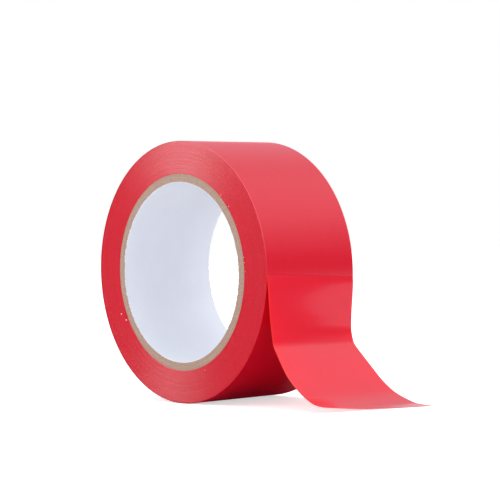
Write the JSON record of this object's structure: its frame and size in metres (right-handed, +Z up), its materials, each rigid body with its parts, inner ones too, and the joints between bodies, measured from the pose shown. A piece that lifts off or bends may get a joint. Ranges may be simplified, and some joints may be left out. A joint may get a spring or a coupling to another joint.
{
  "type": "electrical tape roll",
  "caption": "Roll of glossy film tape wound on a pasteboard core with a paper-lined bore; the free tail hangs from the side and sweeps out to a slanting cut end that rests on the floor.",
  "frame": {"origin": "centre of the core bore, halfway across the tape's width", "axes": "+Y along the bore to the far side face, +Z up as the roll stands on its rim, +X to the side where the tail hangs"},
  "size_m": [0.1554, 0.048, 0.111],
  "materials": {
    "pvc_film": "glossy calendered PVC film",
    "wound_film": "slit edges of tightly wound film",
    "adhesive": "clear rubber adhesive over red film",
    "greyboard": "cut edge of greyboard",
    "liner_paper": "smooth white paper"
  },
  "bodies": {
    "roll": {"core_liner": "liner_paper", "core_ply_1": "greyboard", "core_ply_2": "greyboard", "core_ply_3": "greyboard", "core_ply_4": "greyboard", "core_ply_5": "greyboard", "wound_tape": "wound_film"},
    "last_turn": {"last_turn_adhesive": "adhesive", "last_turn_film": "pvc_film"},
    "tail_hang": {"tail_hang_film": "pvc_film", "tail_hang_adhesive": "adhesive"},
    "tail_sweep": {"tail_sweep_film": "pvc_film", "tail_sweep_adhesive": "adhesive"},
    "tail_tip": {"tail_tip_film": "pvc_film", "tail_tip_adhesive": "adhesive"}
  },
  "joints": [
    {"name": "unwind", "type": "hinge", "parent": "roll", "child": "last_turn", "pos_m": [0, 0, 0], "axis": [0, -1, 0], "continuous": true},
    {"name": "peel_bend", "type": "hinge", "parent": "last_turn", "child": "tail_hang", "pos_m": [0.05544, 0, 0], "axis": [0, -1, 0], "range_deg": [0, 90], "stiffness_Nm_per_rad": 0.0005},
    {"name": "knee_bend", "type": "hinge", "parent": "tail_hang", "child": "tail_sweep", "pos_m": [0.05618, 0, -0.02692], "axis": [0, -1, 0], "range_deg": [-40, 50], "stiffness_Nm_per_rad": 0.001, "springref_deg": 5.73},
    {"name": "tip_bend", "type": "hinge", "parent": "tail_sweep", "child": "tail_tip", "pos_m": [0.06715, 0, -0.04305], "axis": [0, -1, 0], "range_deg": [-40, 40], "stiffness_Nm_per_rad": 0.001, "springref_deg": 1.72}
  ]
}
